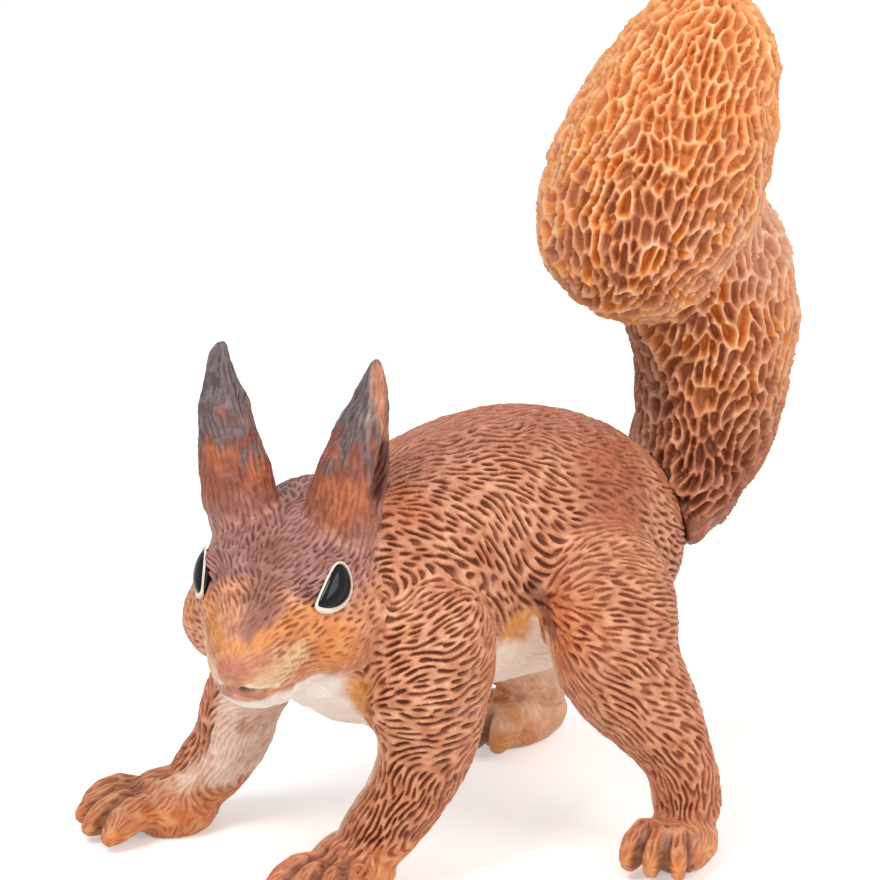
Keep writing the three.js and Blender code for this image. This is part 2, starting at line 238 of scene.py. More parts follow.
def skin_over(name, nodes, voxel, grow, fillers=()):
    """One closed skin over copies of some mouldings, with its sizes in millimetres."""
    copies = []
    for node in nodes:
        copy = bpy.data.objects.new(name, frame["nodes"][node].data.copy())
        bpy.context.collection.objects.link(copy)
        copies.append(copy)
    for place, radius in fillers:
        bpy.ops.mesh.primitive_ico_sphere_add(subdivisions=3, radius=radius * MM, location=row_m(place))
        copies.append(bpy.context.object)
    bpy.ops.object.select_all(action="DESELECT")
    for copy in copies:
        copy.select_set(True)
    bpy.context.view_layer.objects.active = copies[0]
    if len(copies) > 1:
        bpy.ops.object.join()
    skin = bpy.context.object
    skin.name = name
    skin.data.materials.clear()
    bpy.ops.object.mode_set(mode="EDIT")
    bpy.ops.mesh.select_all(action="SELECT")
    bpy.ops.mesh.remove_doubles(threshold=weld_gap * MM)
    bpy.ops.object.mode_set(mode="OBJECT")
    apply_modifier(skin, "DISPLACE", strength=grow * MM, mid_level=0.0)
    apply_modifier(skin, "REMESH", mode="VOXEL", voxel_size=voxel * MM)
    print(name, "skin:", len(skin.data.vertices), "points")
    return skin


# %% [markdown]
# Hair has thousands of strokes, so the sculpting below works on all points of a skin at once. These helpers
# read and write a mesh as arrays, average values along its edges, and give soft noise.


# %% Reading and writing a mesh as arrays
def points_of(mesh):
    flat = np.empty(len(mesh.vertices) * 3, np.float32)
    mesh.vertices.foreach_get("co", flat)
    return flat.reshape(-1, 3).astype(float)


def normals_of(mesh):
    flat = np.empty(len(mesh.vertices) * 3, np.float32)
    mesh.vertex_normals.foreach_get("vector", flat)
    return flat.reshape(-1, 3).astype(float)


def edges_of(mesh):
    flat = np.empty(len(mesh.edges) * 2, np.int32)
    mesh.edges.foreach_get("vertices", flat)
    return flat.reshape(-1, 2)


def move_points(mesh, points):
    mesh.vertices.foreach_set("co", points.astype(np.float32).ravel())
    mesh.update()


def store(mesh, name, values):
    kind = "FLOAT_VECTOR" if values.ndim == 2 else "FLOAT"
    layer = mesh.attributes.new(name, kind, "POINT")
    layer.data.foreach_set("vector" if values.ndim == 2 else "value", values.astype(np.float32).ravel())


def stored(mesh, name):
    layer = mesh.attributes[name]
    wide = 3 if layer.data_type == "FLOAT_VECTOR" else 1
    flat = np.empty(len(mesh.vertices) * wide, np.float32)
    layer.data.foreach_get("vector" if wide == 3 else "value", flat)
    return flat.reshape(-1, 3).astype(float) if wide == 3 else flat.astype(float)


# %% Averages, steps and noise
def spread(values, edges, rounds, weight=None):
    """Averages values with their neighbours along the edges, round by round."""
    count = len(values)
    near = np.bincount(edges.ravel(), minlength=count)
    keep = 0.5 if weight is None else 0.5 * weight
    columns = values.reshape(count, -1).copy()
    for _ in range(rounds):
        for k in range(columns.shape[1]):
            column = columns[:, k]
            total = np.bincount(edges[:, 0], column[edges[:, 1]], count)
            total += np.bincount(edges[:, 1], column[edges[:, 0]], count)
            columns[:, k] = column + keep * (total / near - column)
    return columns.reshape(values.shape)


def unit(vectors):
    return vectors / np.maximum(np.linalg.norm(vectors, axis=-1, keepdims=True), 1e-9)


def smooth_step(low, high, values):
    t = np.clip((values - low) / (high - low), 0, 1)
    return t * t * (3 - 2 * t)


def cloud(points, size, seed):
    """Soft noise from about -1 to 1, with lumps of the given size in millimetres."""
    shift = Vector((17.3 * seed, 5.1 * seed, 9.7 * seed))
    return np.array([noise.noise(Vector(p) / size + shift) for p in points])


# %% [markdown]
# The body's skin covers the torso, the head, the ears and the legs. Each point of it remembers how far each
# moulding is, so that the skin can be cut into its mouldings again at the end, along the real joint lines.

# %% The body's skin
leg_nodes = ["left_foreleg", "right_foreleg", "left_hind_leg", "right_hind_leg"]
ear_nodes = ["left_ear", "right_ear"]
body_nodes = ["torso", "head", *leg_nodes, *ear_nodes]
body_voxel = 0.22
body_grow = 0.22
# Lumps of filler in the gaps at the neck, each with a place and a radius
neck_fillers = [((6.4, -12.3, 20.4), 1.4), ((7.2, -11.2, 24.6), 1.4), ((7.4, -11.6, 22.5), 1.2)]
body = skin_over("body", body_nodes, body_voxel, body_grow, neck_fillers)


def distance_to(node, points):
    mesh = frame["nodes"][node].data
    tree = BVHTree.FromPolygons([v.co for v in mesh.vertices], [p.vertices for p in mesh.polygons])
    return np.array([tree.find_nearest(Vector(p))[3] for p in points]) / MM


body_points = points_of(body.data)
body_edges = edges_of(body.data)
node_distance = np.stack([distance_to(node, body_points) for node in body_nodes], axis=1)
crease_width = 2.0
nearest_two = np.sort(node_distance, axis=1)[:, :2]
crease = np.exp(-((nearest_two[:, 1] - nearest_two[:, 0]) / crease_width) ** 2)
print("body points near a joint line:", int((crease > 0.5).sum()))

# %% [markdown]
# Creases between the mouldings melt most, the legs and the torso a little, and the toes and ears hardly at
# all, because smoothing would shrink them to buds.

# %% Smoothing the creases
toe_height = 5.0
torso_softness, limb_softness, toe_softness, ear_softness = 0.9, 0.5, 0.10, 0.2
skin_rounds, border_rounds = 80, 14
nearest_node = node_distance.argmin(axis=1)
sculpt = sculpt_mm(body_points)
softness = np.where(nearest_node == 0, torso_softness, limb_softness)
softness = np.maximum(softness, crease)
above_toes = smooth_step(toe_height, 2 * toe_height, sculpt[:, 2])
softness *= toe_softness + (1 - toe_softness) * above_toes
softness[nearest_node >= body_nodes.index("left_ear")] *= ear_softness
move_points(body.data, spread(body_points, body_edges, skin_rounds, softness))
for column, node in enumerate(body_nodes):
    store(body.data, "to_" + node, spread(node_distance[:, column], body_edges, border_rounds))
apply_modifier(body, "SUBSURF", levels=1, render_levels=1)
print("smoothed body:", len(body.data.vertices), "points")

# %% [markdown]
# Hair lies along a flow: back over the head and the body, down the legs and up the tail. These are the middle
# lines that it follows, in the sculptor's frame, and the head's own frame with the nose to -Y.

# %% Frames and paths of the flow
head_at = np.array((0.19, -15.4, 27.2))
head_turn = np.array(Euler((math.radians(8), 0, math.radians(36)), "YXZ").to_matrix())


def head_mm(points):
    return (points - head_at) @ head_turn


def out_of_head(places):
    return np.asarray(places) @ head_turn.T + head_at


mirror = np.array((-1, 1, 1))
ear_path = np.array([(3.5, 1.1, 1.0), (4.6, 2.0, 7.0), (6.9, 5.0, 18.5)])
limb_paths = {
    "left_foreleg": [(5.0, -5.4, 27.2), (8.5, -7.2, 17.2), (8.4, -9.1, 8.6), (6.8, -13.9, 2.0)],
    "right_foreleg": [(-4.0, -6.0, 24.4), (-9.6, -13.9, 12.7), (-13.2, -15.6, 5.0), (-14.2, -18.2, 2.2)],
    "left_hind_leg": [(4.0, 11.6, 28.0), (12.4, 10.0, 17.4), (16.6, 13.7, 8.4), (17.3, 13.8, 2.2)],
    "right_hind_leg": [(-4.0, 12.0, 27.0), (-11.2, 12.7, 14.4), (-13.3, 20.1, 5.8), (-13.6, 20.8, 2.6)],
    "left_ear": out_of_head(ear_path),
    "right_ear": out_of_head(ear_path * mirror),
}

# For each paw: its middle, the way it heads, and how far its four toes fan out, both in degrees
paws = {
    "left_foreleg": ((6.8, -13.9, 0.0), 26, 68),
    "right_foreleg": ((-14.2, -18.8, 0.0), -20, 68),
    "left_hind_leg": ((17.8, 12.6, 0.0), 40, 72),
    "right_hind_leg": ((-13.6, 18.1, 0.0), 0, 72),
}


def nearest_on_path(points, path):
    """The distance to a path, and the direction of its nearest stretch."""
    path = np.array(path, float)
    best = np.full(len(points), np.inf)
    direction = np.zeros_like(points)
    for start, end in zip(path[:-1], path[1:]):
        line = end - start
        t = np.clip(((points - start) @ line) / (line @ line), 0, 1)
        gap = np.linalg.norm(points - start - t[:, None] * line, axis=1)
        closer = gap < best
        best[closer] = gap[closer]
        direction[closer] = line / np.linalg.norm(line)
    return best, direction


def lay_flat(flow, normals):
    return unit(flow - (flow * normals).sum(axis=1, keepdims=True) * normals)


print("limb paths:", list(limb_paths))

# %% [markdown]
# The face is modelled before the hair. Soft pushes raise the lips, the nose pad, the brows and the cheeks,
# make room for the eyes, and thin strokes cut the mouth and the nostrils.

# %% Modelling the face
points = sculpt_mm(points_of(body.data))
normals = normals_of(body.data)
edges = edges_of(body.data)
label = np.stack([stored(body.data, "to_" + node) for node in body_nodes], axis=1).argmin(axis=1)
on = {node: label == k for k, node in enumerate(body_nodes)}
in_head = head_mm(points)
both_sides = in_head * np.where(in_head[:, :1] < 0, mirror, 1)

# Each push has a place in the head's frame, a radius and a height
face_pushes = [
    ((0.0, -14.0, -1.6), 1.4, 0.30),
    ((2.7, -12.6, -3.6), 1.5, -0.50),
    ((6.4, -3.6, -2.6), 3.2, 0.30),
    ((0.0, -12.4, -5.8), 1.6, -0.20),
    ((4.9, -5.0, 4.8), 1.3, 0.25),
    ((5.5, -5.4, 2.0), 1.9, -0.45),
    ((4.7, -6.8, 2.4), 1.3, -0.45),
    ((0.95, -14.3, -1.9), 0.38, -0.35),
]
mouth_line = [(0.7, -14.1, -3.8), (1.5, -13.5, -4.2), (2.3, -12.5, -4.7)]
mouth_depth = 0.5
mouth_width = 0.22

raised = np.zeros(len(points))
for centre, radius, amount in face_pushes:
    gap = np.linalg.norm(both_sides - np.array(centre), axis=1)
    raised += amount * np.exp(-(gap / radius) ** 2)
mouth_gap, _ = nearest_on_path(both_sides, mouth_line)
raised -= mouth_depth * np.exp(-(mouth_gap / mouth_width) ** 2)
raised *= on["head"]
throat_at, throat_reach, throat_lift = (5.5, -16.5, 17.4), 2.6, 0.9
throat_gap = np.linalg.norm(points - throat_at, axis=1)
raised -= throat_lift * np.exp(-(throat_gap / throat_reach) ** 2) * on["torso"]
raised = spread(raised, edges, 4)
points = points + normals * raised[:, None]
move_points(body.data, row_m(points))
normals = normals_of(body.data)
print("face raised", round(float(raised.max()), 2), "mm and cut", round(float(-raised.min()), 2), "mm")

# %% [markdown]
# Every point gets a direction of its hair. On the flank the hair falls steeply into the fold before the
# thigh, and on the thigh it fans out from that fold. The directions are averaged, so they turn smoothly.

# %% Flow of the hair
count = len(points)
flank = np.clip(np.abs(points[:, 0]) / 9, 0, 1)
flow = np.stack([np.zeros(count), np.ones(count), -0.7 * flank], axis=1)
steep = smooth_step(3, 7, np.abs(points[:, 0])) * smooth_step(36, 31, points[:, 2])
steep = (steep * np.exp(-((points[:, 1] - 1.5) / 3.5) ** 2))[:, None]
flow = (1 - steep) * flow + steep * np.array((0.0, 0.45, -1.0))
head_flow = np.stack([0.35 * np.sign(in_head[:, 0]), np.ones(count), np.full(count, 0.1)], axis=1)
flow[on["head"]] = (head_flow @ head_turn.T)[on["head"]]
for node, limb_path in limb_paths.items():
    flow[on[node]] = nearest_on_path(points[on[node]], limb_path)[1]

# For each leg: where its hair fans out from, how far the fan reaches, and how the hair lies beyond it
fans = {
    "foreleg": ((9.5, -2.1, 25.2), 5.0, (0.0, -1.0, -0.1)),
    "hind_leg": ((9.5, 3.6, 23.0), 9.0, (0.0, 1.0, -0.35)),
}
for side_name, side in (("left", 1), ("right", -1)):
    for leg, (middle, reach, beyond) in fans.items():
        there = on[side_name + "_" + leg]
        away = points[there] - np.array(middle) * (side, 1, 1)
        share = np.exp(-(away ** 2).sum(axis=1) / reach ** 2)[:, None]
        upper = smooth_step(9, 14, points[there, 2])[:, None]
        fan = share * unit(away) + (1 - share) * np.array(beyond)
        flow[there] = (1 - upper) * flow[there] + upper * fan
for node, (middle, _, _) in paws.items():
    on_paw = on[node] & (points[:, 2] < 4.2)
    flow[on_paw] = unit(points[on_paw] * (1, 1, 0) - middle)
flow = lay_flat(flow, normals)
for _ in range(4):
    flow = lay_flat(spread(flow, edges, 14), normals)
sway = (0.5 * cloud(points, 2.6, 12) + 0.35 * cloud(points, 1.0, 14))[:, None]
flow = np.cos(sway) * flow + np.sin(sway) * np.cross(normals, flow)
print("flow set on", count, "points")

# %% [markdown]
# The coat is scored into wavy ridges with narrow slits between them. Such a pattern can grow by itself: if
# values that lie close together pull each other level, and those a little farther off push each other apart,
# then noise settles into slits of one width. Drawing both out along the hair makes the slits long, and as
# they cover less than half of the skin, they stay apart, with pointed ends.


# %% Growing ridges along the hair
def links_of(mesh):
    """The sides and the diagonals of all faces, as pairs of points."""
    corners = np.empty(len(mesh.polygons) * 4, np.int32)
    mesh.polygons.foreach_get("vertices", corners)
    corners = corners.reshape(-1, 4)
    return np.concatenate([edges_of(mesh), corners[:, 0::2], corners[:, 1::2]])


def nearest_points(points, places):
    """For each place, the number of the nearest of the points."""
    tree = KDTree(len(points))
    for number, point in enumerate(points):
        tree.insert(point, number)
    tree.balance()
    return np.array([tree.find(place)[1] for place in places])


def grow_ridges(mesh, points, flow, pace, drawn, bias, stride, far_draws, seed):
    """A pattern from -1 in a slit to 1 on a ridge. A slow pace gives fine ridges, a high bias few slits."""
    count = len(points)
    start, end = links_of(mesh).T
    pull = 1 / ((points[end] - points[start]) ** 2).sum(axis=1)
    total = np.bincount(start, pull, count) + np.bincount(end, pull, count)
    ahead = nearest_points(points, points + stride * flow)
    behind = nearest_points(points, points - stride * flow)

    def blurred(values, rounds):
        for _ in range(rounds):
            mean = np.bincount(start, pull * values[end], count)
            mean += np.bincount(end, pull * values[start], count)
            values = values + pace * (mean / total - values)
        return values

    def drawn_out(values, rounds):
        for _ in range(rounds):
            mean = (values[ahead] + values[behind]) / 2
            values = values + 0.5 * drawn * (mean - values)
        return values

    growth_rounds, near_blurs, near_draws, far_blurs = 8, 2, 3, 9
    ridges = np.random.default_rng(seed).normal(size=count)
    for _ in range(growth_rounds):
        near = drawn_out(blurred(ridges, near_blurs), near_draws)
        contrast = near - drawn_out(blurred(near, far_blurs), far_draws)
        ridges = np.tanh(contrast / contrast.std() + bias)
    ridges = blurred(ridges, 1)
    print("ridges cover", round(float((ridges > 0).mean()), 2), "of", mesh.name)
    return ridges


# %% [markdown]
# Where the slits are long or short, deep or shallow follows the animal: long on the flanks and thighs, round
# on the cheeks and hocks, fine on the brow, and faint on the muzzle, the belly, the haunch and inside the
# legs. Plain grooves part the toes.

# %% Fineness and depth of the ridges
muzzle = smooth_step(-9.0, -11.5, in_head[:, 1] + 0.35 * np.abs(in_head[:, 0])) * on["head"]
cheek = on["head"] * smooth_step(3.0, 6.0, np.abs(in_head[:, 0])) * smooth_step(2.5, 0.0, in_head[:, 2])
back = on["torso"] * smooth_step(0.45, 0.9, normals[:, 2])
uneven = cloud(points, 1.8, 31)
paw = smooth_step(5.8, 3.4, points[:, 2] + 1.2 * uneven)
lower_leg = smooth_step(12, 8, points[:, 2]) * (1 - paw)
under = smooth_step(0.25, 0.55, -normals[:, 2]) * (on["torso"] | on["head"])
ear = np.maximum(on["left_ear"], on["right_ear"]).astype(float)
left_half = points * np.where(points[:, :1] < 0, mirror, 1)
haunch_top = smooth_step(6.0, 2.5, np.linalg.norm(left_half - (7.0, 13.5, 31.5), axis=1))
fold_patch = on["torso"] * smooth_step(3.4, 2.2, np.linalg.norm(left_half - (7.6, 3.4, 20.0), axis=1))
inner = np.zeros(count)
for node in leg_nodes:
    side = 1 if node.startswith("left") else -1
    inner[on[node]] = smooth_step(0.1, 0.5, -side * normals[on[node], 0])

ear_soft = spread(ear, edges, 40)
bib = smooth_step(4.4, 2.8, np.linalg.norm(points - (5.0, -15.5, 18.0), axis=1))
pace = np.where(on["head"], 0.36 + 0.14 * cheek, 0.5 - 0.15 * back - 0.05 * lower_leg)
pace = pace * (1 - 0.3 * inner) * (1 + 0.35 * cloud(points, 1.8, 41))
drawn = 1 - 0.4 * on["head"] - 0.2 * cheek - 0.4 * lower_leg - 0.6 * fold_patch
bias = 0.45 + 0.1 * haunch_top + 0.1 * inner + 0.1 * on["head"] + 0.25 * cheek - 0.15 * lower_leg
bias = bias + 0.3 * cloud(points, 1.4, 42)
thigh = spread((on["left_hind_leg"] | on["right_hind_leg"]).astype(float), edges, 20)
far_foot = on["right_hind_leg"] * smooth_step(14, 9, points[:, 2] + 3.0 * uneven)
far_foot = far_foot * smooth_step(-0.5, 0.2, normals[:, 0] - 0.4 * normals[:, 1])
smoothed = [0.75 * muzzle, 0.7 * paw, 0.3 * thigh, 0.6 * far_foot, 0.75 * under,
            0.75 * inner * (1 - paw), 0.75 * ear_soft, 0.4 * haunch_top, 0.8 * fold_patch, 0.9 * bib]
head_slit, body_slit = 0.26, 0.42
coat_depth = np.where(on["head"], head_slit, body_slit) * (0.85 + 0.35 * cloud(points, 1.6, 33))
for share in smoothed:
    coat_depth = coat_depth * (1 - share)
print("coat depth", coat_depth.min().round(3), "to", coat_depth.max().round(3), "mm")

# %% Grooves between the toes
# Each groove runs midway between two toes, seen from above, and fades out over the knuckles
groove_width, groove_depth = 0.45, 0.5
groove_start, groove_end = 3.0, 8.0
groove = np.zeros(count)
for node, (middle, heading, fan) in paws.items():
    on_ground = points[on[node]] * (1, 1, 0)
    for turn in (-fan / 3, 0, fan / 3):
        angle = math.radians(heading + turn)
        ahead = np.array((math.sin(angle), -math.cos(angle), 0.0))
        gap, _ = nearest_on_path(on_ground, [middle + groove_start * ahead, middle + groove_end * ahead])
        groove[on[node]] = np.maximum(groove[on[node]], np.exp(-(gap / groove_width) ** 2))
groove *= smooth_step(5.5, 4.0, points[:, 2])
print("grooves cover", groove.mean().round(4), "of the body")

# %% Relief of the coat
ridges = grow_ridges(body.data, points, flow, pace, drawn, bias, stride=0.24, far_draws=7, seed=7)
slit = smooth_step(0.55, -0.7, ridges)
lumps = 0.12 * cloud(points, 3.5, 5) + 0.08 * cloud(points, 1.3, 15) + 0.06 * cloud(points, 0.5, 16)
hollow = ((spread(points, edges, 14) - points) * normals).sum(axis=1)
ridge_rise = 0.1
rest_height = ridge_rise - body_grow
ear_folds = 0.3 * cloud(points * (1, 1, 0.2), 1.0, 25) * ear
height = rest_height - coat_depth * slit + lumps * (1 - paw) * (1 - muzzle) + ear_folds
height = height - groove_depth * groove
move_points(body.data, row_m(points + normals * height[:, None]))
print("relief from", round(float(height.min()), 3), "to", round(float(height.max()), 3), "mm")

# %% [markdown]
# The paint follows the animal too. Masks say where each colour goes, and are kept as values on the points, so
# that the paint stays on the sculpted forms. Soft noise breaks their edges, as a brush does.


# %% Dabs and strokes of paint
def dabs(places, spots, ragged):
    """Round dabs of paint, given as (centre, radius), with a ragged edge."""
    mask = np.zeros(len(places))
    for centre, radius in spots:
        gap = np.linalg.norm(places - np.array(centre), axis=1) + ragged * radius
        mask = np.maximum(mask, smooth_step(1.5, 0.4, gap / radius))
    return mask


def stroke(places, path, radius, ragged):
    """A brush stroke along a path, with a ragged edge."""
    gap, _ = nearest_on_path(places, path)
    return smooth_step(1.5, 0.4, gap / radius + ragged)


patch = cloud(points, 2.2, 8)
fine = cloud(points, 0.7, 9)
broken = 0.6 * patch + 0.4 * fine
head_share = spread(on["head"].astype(float), edges, 10)
ear_share = spread(ear, edges, 10)
print("patches of paint vary from", patch.min().round(2), "to", patch.max().round(2))

# %% [markdown]
# The face: purple-brown crown and brow, orange round the nose and on the cheeks, ochre on the sides of the
# muzzle, a salmon nose, a cream lip, a white chin and throat.

# %% Paint masks of the face
rag = 0.45 * broken
bridge_line = [(0.4, -5.0, 4.0), (1.0, -8.6, 2.4), (1.5, -11.8, 0.4)]
crown = smooth_step(-0.5, 2.8, in_head[:, 2] + 1.2 * broken)
crown = head_share * crown * smooth_step(-9.0, -7.4, in_head[:, 1] + 0.8 * broken)
ear_root = ear_share * smooth_step(9.0, 5.0, in_head[:, 2] + 1.5 * broken)
crown = np.maximum(crown, 0.85 * ear_root)
bridge = head_share * stroke(in_head, bridge_line, 1.7, rag)
face_orange = head_share * np.maximum.reduce([
    dabs(in_head, [((0.1, -13.2, -0.6), 1.1), ((4.6, -8.8, -0.4), 1.8), ((6.2, -7.0, -2.4), 2.4)], rag),
    stroke(both_sides, [(4.4, -7.8, 1.0), (2.9, -10.4, 0.4), (1.8, -12.5, -0.3)], 0.8, rag),
])
muzzle_line = [(4.0, -9.9, -2.2), (3.2, -11.4, -3.0), (2.2, -12.9, -3.4)]
muzzle_side = head_share * stroke(both_sides, muzzle_line, 1.2, rag)
nose_pad = head_share * dabs(both_sides, [((0.7, -14.1, -2.0), 1.1), ((0.0, -14.0, -1.6), 1.0)], 0.4 * rag)
lip_line = [(1.2, -13.9, -3.5), (1.9, -13.2, -4.0), (3.0, -11.6, -4.3)]
cream_lip = 0.7 * head_share * stroke(both_sides, lip_line, 0.3, rag)
chin = head_share * smooth_step(-5.0, -5.8, in_head[:, 2] + 0.5 * broken)
chin *= smooth_step(-3.5, -5.5, in_head[:, 1]) * smooth_step(6.0, 4.6, both_sides[:, 0])
mouth = head_share * np.exp(-(mouth_gap / 0.2) ** 2) * smooth_step(-0.2, 0.6, in_head[:, 0])
lip_low = [(0.0, -14.3, -3.7), (0.9, -13.9, -4.5), (2.0, -12.6, -5.1)]
lower_lip = head_share * stroke(both_sides, lip_low, 0.36, rag)
print("crown covers", crown.mean().round(3), "of the body")

# %% [markdown]
# The body: dull red-brown along the back, warmer on the haunch and the shins, cream on the belly and inside
# the legs, ochre in the fold of the flank and on the far foot, orange-brown toes. A dark wash stays in deep
# folds and between the toes.

# %% Paint masks of the body
spine = on["torso"] * smooth_step(0.45, 0.95, normals[:, 2] + 0.25 * broken)
belly = on["torso"] * smooth_step(0.3, 0.5, -normals[:, 2] + 0.15 * broken)
throat = dabs(points, [((6.2, -16.8, 18.4), 2.6), ((2.0, -15.0, 16.0), 4.0)], 0.4 * rag)
throat *= 1 - smooth_step(-14.6, -13.6, points[:, 1] + 0.5 * broken)
chest = dabs(points, [((6.8, -13.0, 18.2), 2.0), ((5.5, -13.2, 16.0), 2.0)], rag) * (1 - throat)
inner_leg = inner * (1 - paw) * smooth_step(0.2, 0.6, 0.5 + 0.3 * broken)
inner_leg = np.maximum(inner_leg * (1 - 0.5 * far_foot), 0.5 * far_foot * smooth_step(-0.3, 0.3, patch))
toe_side = smooth_step(0.85, 0.1, normals[:, 2] + 0.5 * broken)
toes = paw * np.maximum(toe_side, 0.3) * (1 - 0.6 * far_foot)
glow_spots = [((11.2, 5.6, 21.6), 3.2), ((10.2, -3.4, 18.4), 1.8), ((14.6, 9.0, 14.8), 2.2)]
glow_spots += [((8.4, -9.5, 8.0), 2.4), ((16.4, 13.0, 8.0), 2.2), ((5.5, -7.5, 33.4), 2.2)]
glow = 0.8 * dabs(left_half, glow_spots, 0.8 * rag)
tan = 0.55 * smooth_step(0.05, 0.45, patch)
rust = 0.7 * smooth_step(0.05, 0.4, cloud(points, 3.2, 43))
shin = smooth_step(18, 9, points[:, 2] + 1.5 * broken)
rust = np.maximum.reduce([rust, 0.5 * thigh, 0.9 * shin, 0.6 * cheek])
fold_line = [(8.9, 3.4, 24.6), (9.7, 4.4, 22.5), (10.6, 4.3, 20.8)]
wash = smooth_step(0.025, 0.10, hollow) * (1 - muzzle) * (1 - fold_patch)
wash = np.maximum(wash, 0.7 * stroke(left_half, fold_line, 0.8, rag))
wash = np.maximum.reduce([wash, 0.9 * paw * smooth_step(0.004, 0.035, hollow), 0.9 * groove])
print("wash covers", wash.mean().round(3), "of the body")

# %% [markdown]
# The ears: charcoal tips that fade to red-brown, orange spots near the root, which takes the colour of the
# crown, a tan strip behind the cream rim, and a dark hollow.

# %% Paint masks of the ears
rim_line = [(6.7, 4.2, 17.8), (6.9, 2.4, 14.5), (6.9, 1.6, 12.3), (7.1, 0.9, 9.3), (6.7, 0.2, 6.8)]
ear_spots = [((5.6, -0.4, 7.2), 2.2), ((3.6, 0.4, 9.0), 1.2)]
ear_spots += [((-6.0, 0.6, 10.0), 1.4), ((-2.6, 1.0, 9.0), 1.2)]
strip_line = [(7.1, 4.6, 17.4), (7.8, 3.4, 14.0), (8.0, 3.2, 11.5)]
streak = cloud(in_head * (1, 1, 0.18), 0.8, 21)
ear_tip = 0.9 * ear_share * smooth_step(9.5, 13.5, in_head[:, 2] + 2.5 * broken + 4.0 * streak)
ear_orange = 0.6 * ear_share * dabs(in_head, ear_spots, 1.5 * rag + 0.6 * streak)
ear_hollow = ear_share * stroke(both_sides, [(7.4, 2.6, 7.4), (7.7, 3.6, 10.6)], 0.9, 0.3 * rag)
ear_strip = 0.9 * ear_share * stroke(in_head, strip_line, 0.9, 0.6 * rag)
ear_rim = 0.55 * ear_share * stroke(in_head, rim_line, 0.2, 0.8 * rag)
print("ear tips cover", ear_tip.mean().round(3), "of the body")

# %% Masks kept on the points
full_slit = 0.36
shown_depth = np.clip(coat_depth / full_slit, 0.1, 1) ** 0.6
masks = {
    "ridge": 1 - (0.5 - 0.5 * ridges) * shown_depth,
    "tan": tan,
    "rust": rust,
    "spine": np.maximum(spine, 0.6 * haunch_top * (patch > 0)),
    "haunch": haunch_top,
    "glow": glow,
    "crown": crown,
    "bridge": bridge,
    "face_orange": face_orange,
    "muzzle_side": muzzle_side,
    "chest": np.maximum.reduce([chest, fold_patch, 0.7 * far_foot]),
    "belly": belly,
    "white": np.maximum.reduce([chin, throat, cream_lip]),
    "inner_leg": inner_leg,
    "toes": toes,
    "nose_pad": nose_pad,
    "lower_lip": lower_lip,
    "ear": ear_share * smooth_step(3.5, 8.0, in_head[:, 2] + 1.5 * broken),
    "ear_orange": ear_orange,
    "ear_tip": ear_tip,
    "ear_strip": ear_strip,
    "ear_rim": ear_rim,
    "wash": np.maximum(wash, ear_hollow),
    "mouth": mouth,
}
for name, values in masks.items():
    store(body.data, name, values)
store(body.data, "skin_normal", normals_of(body.data))
print("masks:", {name: round(float(values.mean()), 3) for name, values in masks.items()})

# %% [markdown]
# Painted PVC has a satin skin. The coat was sprayed with a mid colour, washed with thin dark paint that
# stayed in the pits, and dry-brushed with a pale colour that caught the ridges. So each zone has three
# colours, and the relief says which of them shows. Noise makes the sheen uneven and adds a fine grain.


# %% Layers of paint
# The grain of sprayed paint is finer than this, and is drawn coarser so that it shows
grain_size = 0.16
grain_height = 0.06


